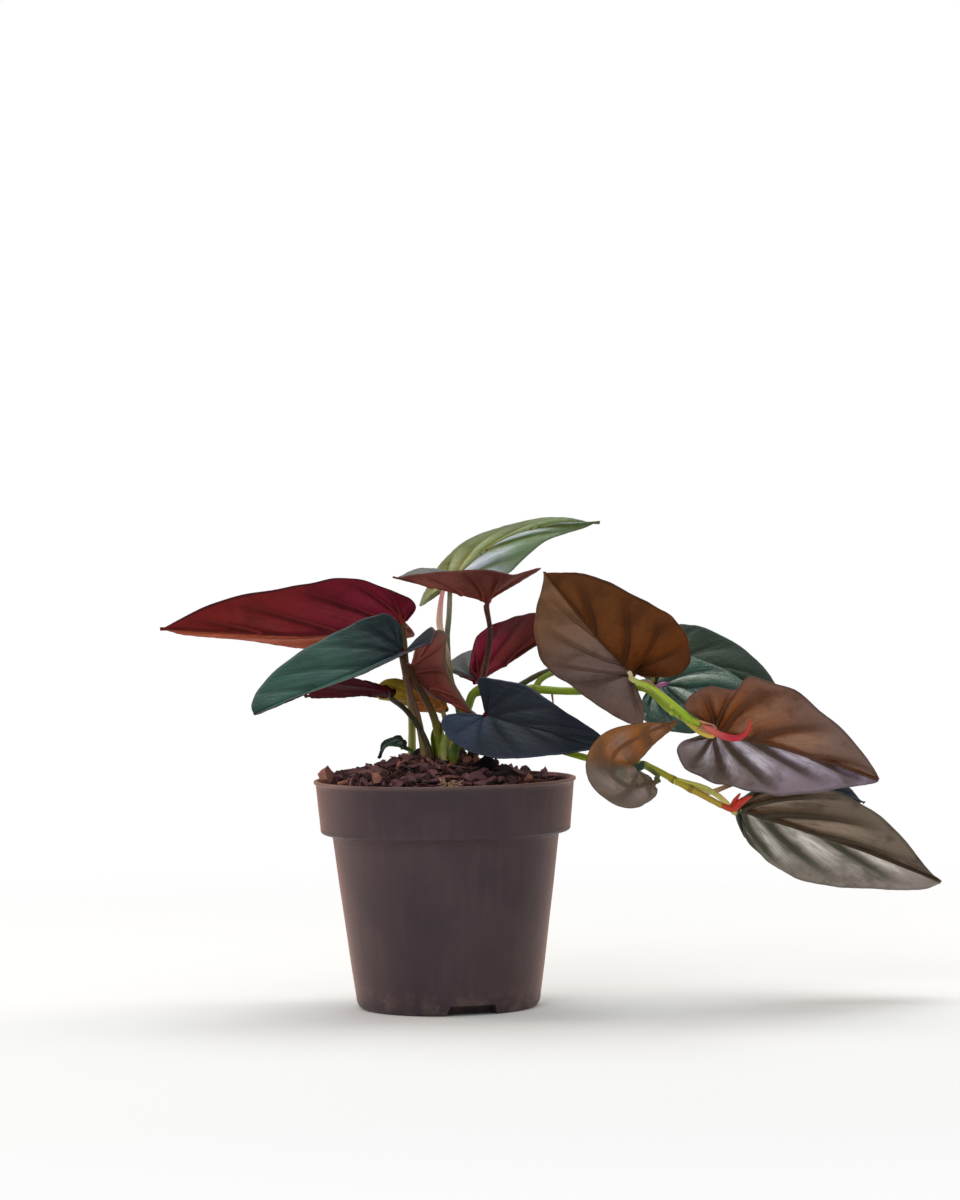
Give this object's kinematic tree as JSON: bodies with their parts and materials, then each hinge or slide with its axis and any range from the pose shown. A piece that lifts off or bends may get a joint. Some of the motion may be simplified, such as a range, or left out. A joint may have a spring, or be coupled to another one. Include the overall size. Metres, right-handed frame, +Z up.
{
  "type": "potted syngonium",
  "caption": "Potted syngonium in a dark round plastic nursery pot with a deep collar, its soil, spreading stems and arrow-shaped leaves that are green above and wine-red beneath.",
  "frame": {"origin": "middle of the flat underside of the pot, where it stands", "axes": "+Z up along the pot's axis, -Y towards the viewer of the picture, +X to the viewer's right, along the trailing stems"},
  "size_m": [0.3597, 0.1639, 0.2247],
  "materials": {
    "pot": "satin",
    "soil": "matt",
    "green": "satin",
    "light_green": "satin",
    "crimson": "satin",
    "brown": "satin",
    "slate": "satin",
    "stem": "satin",
    "red": "satin"
  },
  "bodies": {
    "root": {"pot": "pot", "soil": "soil", "leaf_far_left": "crimson", "leaf_left_front": "green", "leaf_left_low": "crimson", "leaf_centre": "crimson", "leaf_top": "light_green", "leaf_upper_front": "crimson", "leaf_back_red": "crimson", "leaf_brown_high": "brown", "leaf_slate_front": "slate", "leaf_curled": "brown", "leaf_right_back": "green", "leaf_right_glossy": "green", "leaf_purple_right": "brown", "leaf_bottom_right": "brown", "leaf_hidden_purple": "crimson", "leaf_small_curled": "green", "leaf_young": "light_green", "stalk_far_left": "stem", "stalk_left_front": "stem", "stalk_left_low": "stem", "stalk_centre": "stem", "stalk_young": "stem", "stalk_top": "stem", "stalk_slate_front": "stem", "stalk_small_curled": "stem", "sheath_dark": "stem", "sheath_pale": "stem", "stem_upper": "stem", "stem_lower": "stem", "shoot_upper": "red", "shoot_lower": "red", "bud_upper": "red"}
  },
  "joints": []
}
